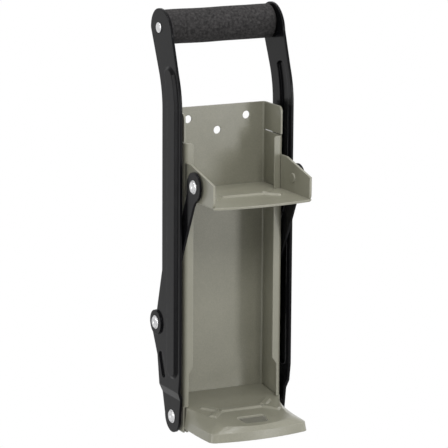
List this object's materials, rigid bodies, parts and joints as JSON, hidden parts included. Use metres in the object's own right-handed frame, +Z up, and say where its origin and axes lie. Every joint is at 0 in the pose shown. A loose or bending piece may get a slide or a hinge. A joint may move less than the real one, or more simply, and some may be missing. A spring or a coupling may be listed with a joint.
{
  "type": "lever can crusher",
  "caption": "Wall mounted can crusher: two side levers with a foam grip push a pressed ram plate down a folded steel channel onto a foot.",
  "frame": {"origin": "rear face of the back plate (the wall plane), mid width, at the height of the levers' lower pivot", "axes": "+X to the right seen from the front, +Y into the wall, +Z up with the handle raised"},
  "size_m": [0.114, 0.111, 0.3685],
  "materials": {
    "grey_paint": "satin taupe grey powder coat with fine speckle",
    "black_paint": "semi gloss black powder coat",
    "zinc_steel": "bright zinc plated",
    "foam": "closed cell foam, matt charcoal"
  },
  "bodies": {
    "base": {"body_channel": "grey_paint", "foot_plate": "grey_paint", "lower_rivet_left": "zinc_steel", "lower_rivet_right": "zinc_steel", "lower_washer_left": "zinc_steel", "lower_washer_right": "zinc_steel"},
    "lever": {"lever_left": "black_paint", "lever_right": "black_paint", "handle_tube": "zinc_steel", "handle_rod": "zinc_steel", "foam_grip": "foam", "link_rivet_left": "zinc_steel", "link_rivet_right": "zinc_steel", "link_spacer_left": "zinc_steel", "link_spacer_right": "zinc_steel"},
    "link_left": {"link_left": "black_paint", "ram_rivet_left": "zinc_steel"},
    "link_right": {"link_right": "black_paint", "ram_rivet_right": "zinc_steel"},
    "ram": {"ram_plate": "grey_paint", "ram_spacer_left": "grey_paint", "ram_spacer_right": "grey_paint", "ram_rivet_tail_left": "grey_paint", "ram_rivet_tail_right": "grey_paint"}
  },
  "joints": [
    {"name": "lever_hinge", "type": "hinge", "parent": "base", "child": "lever", "pos_m": [0, -0.02, 0], "axis": [1, 0, 0], "range_deg": [0, 180]},
    {"name": "ram_slide", "type": "slide", "parent": "base", "child": "ram", "axis": [0, 0, -1], "range_m": [0, 0.1441]},
    {"name": "link_left_hinge", "type": "hinge", "parent": "lever", "child": "link_left", "pos_m": [-0.0493, 0.0055, 0.079], "axis": [1, 0, 0], "range_deg": [-201, 0]},
    {"name": "link_right_hinge", "type": "hinge", "parent": "lever", "child": "link_right", "pos_m": [0.0493, 0.0055, 0.079], "axis": [1, 0, 0], "range_deg": [-201, 0]}
  ],
  "couplings": [
    {"joint": "ram_slide", "follows": "lever_hinge", "m_per_rad": 0.045824},
    {"joint": "link_left_hinge", "follows": "lever_hinge", "ratio": -1.1163},
    {"joint": "link_right_hinge", "follows": "lever_hinge", "ratio": -1.1163}
  ]
}
